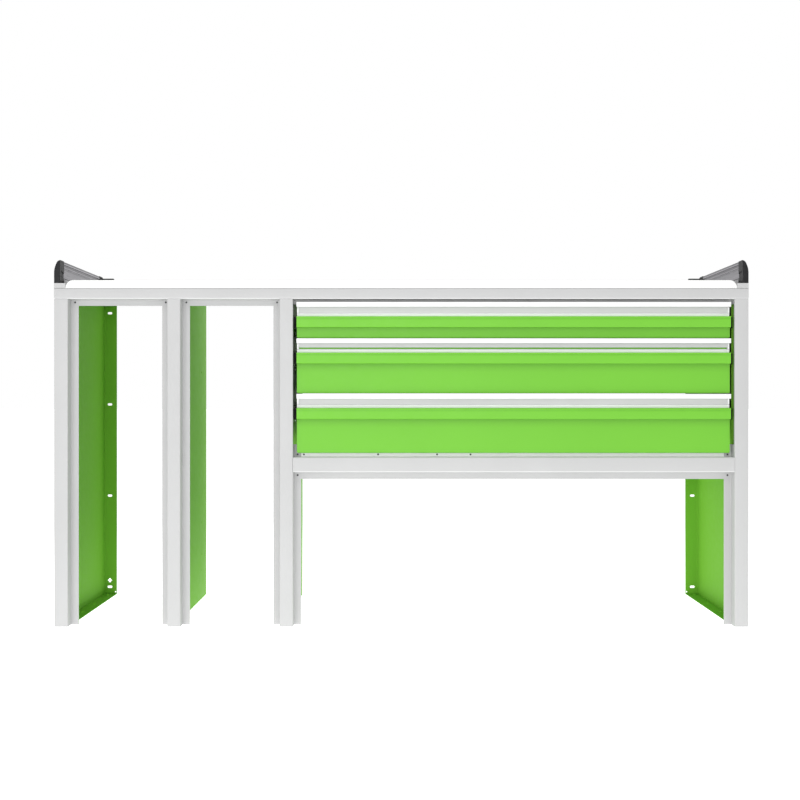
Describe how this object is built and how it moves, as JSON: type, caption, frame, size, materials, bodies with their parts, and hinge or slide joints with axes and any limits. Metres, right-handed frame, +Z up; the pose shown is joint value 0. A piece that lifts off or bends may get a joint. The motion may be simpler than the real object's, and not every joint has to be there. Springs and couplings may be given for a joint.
{
  "type": "workbench with drawers",
  "caption": "Modular steel workbench with open bays, full-width drawers on telescopic runners, a flat worktop and raised side rails.",
  "frame": {"origin": "on the floor, under the middle of the bench", "axes": "+X to the right as seen by a person in front of the bench, +Y from the front to the back, +Z up"},
  "size_m": [1.8066, 0.42, 0.9555],
  "materials": {
    "green_paint": "gloss",
    "drawer_green": "satin",
    "grey_paint": "satin",
    "white_laminate": "satin",
    "anodised_aluminium": "satin",
    "pale_aluminium": "satin",
    "black_plastic": "satin",
    "black_steel": "satin",
    "zinc": "satin"
  },
  "bodies": {
    "frame": {"left_end_panel": "green_paint", "left_divider_panel": "green_paint", "right_divider_panel": "green_paint", "right_end_panel": "green_paint", "left_end_post": "grey_paint", "left_divider_post": "grey_paint", "right_divider_post": "grey_paint", "right_end_post": "grey_paint", "top_beam": "grey_paint", "lower_beam": "grey_paint", "upper_rear_rail": "green_paint", "lower_rear_rail": "green_paint", "rear_rail_bolts": "zinc", "worktop": "white_laminate", "worktop_screws": "zinc", "rail_screws": "zinc", "left_seat": "grey_paint", "right_seat": "grey_paint", "left_side_rail": "anodised_aluminium", "right_side_rail": "anodised_aluminium", "left_front_cap": "black_plastic", "left_rear_cap": "black_plastic", "right_front_cap": "black_plastic", "right_rear_cap": "black_plastic", "flange_screws": "black_steel", "left_carriers": "green_paint", "right_carriers": "green_paint", "carrier_screws": "zinc", "top_fixed_runners": "black_steel", "middle_fixed_runners": "black_steel", "bottom_fixed_runners": "black_steel", "top_runner_stops": "black_plastic", "middle_runner_stops": "black_plastic", "bottom_runner_stops": "black_plastic"},
    "top_drawer": {"top_front": "drawer_green", "top_handle": "pale_aluminium", "top_handle_ends": "pale_aluminium", "top_box_floor": "drawer_green", "top_box_walls": "drawer_green", "top_inner_runners": "black_steel", "top_front_screws": "zinc"},
    "top_runners": {"top_mid_runners": "black_steel"},
    "middle_drawer": {"middle_front": "drawer_green", "middle_handle": "pale_aluminium", "middle_handle_ends": "pale_aluminium", "middle_box_floor": "drawer_green", "middle_box_walls": "drawer_green", "middle_inner_runners": "black_steel", "middle_front_screws": "zinc"},
    "middle_runners": {"middle_mid_runners": "black_steel"},
    "bottom_drawer": {"bottom_front": "drawer_green", "bottom_handle": "pale_aluminium", "bottom_handle_ends": "pale_aluminium", "bottom_box_floor": "drawer_green", "bottom_box_walls": "drawer_green", "bottom_inner_runners": "black_steel", "bottom_front_screws": "zinc"},
    "bottom_runners": {"bottom_mid_runners": "black_steel"}
  },
  "joints": [
    {"name": "top_drawer_slide", "type": "slide", "parent": "frame", "child": "top_drawer", "axis": [0, -1, 0], "range_m": [0, 0.35]},
    {"name": "top_runner_slide", "type": "slide", "parent": "frame", "child": "top_runners", "axis": [0, -1, 0], "range_m": [0, 0.175]},
    {"name": "middle_drawer_slide", "type": "slide", "parent": "frame", "child": "middle_drawer", "axis": [0, -1, 0], "range_m": [0, 0.35]},
    {"name": "middle_runner_slide", "type": "slide", "parent": "frame", "child": "middle_runners", "axis": [0, -1, 0], "range_m": [0, 0.175]},
    {"name": "bottom_drawer_slide", "type": "slide", "parent": "frame", "child": "bottom_drawer", "axis": [0, -1, 0], "range_m": [0, 0.35]},
    {"name": "bottom_runner_slide", "type": "slide", "parent": "frame", "child": "bottom_runners", "axis": [0, -1, 0], "range_m": [0, 0.175]}
  ],
  "couplings": [
    {"joint": "top_runner_slide", "follows": "top_drawer_slide", "ratio": 0.5},
    {"joint": "middle_runner_slide", "follows": "middle_drawer_slide", "ratio": 0.5},
    {"joint": "bottom_runner_slide", "follows": "bottom_drawer_slide", "ratio": 0.5}
  ]
}
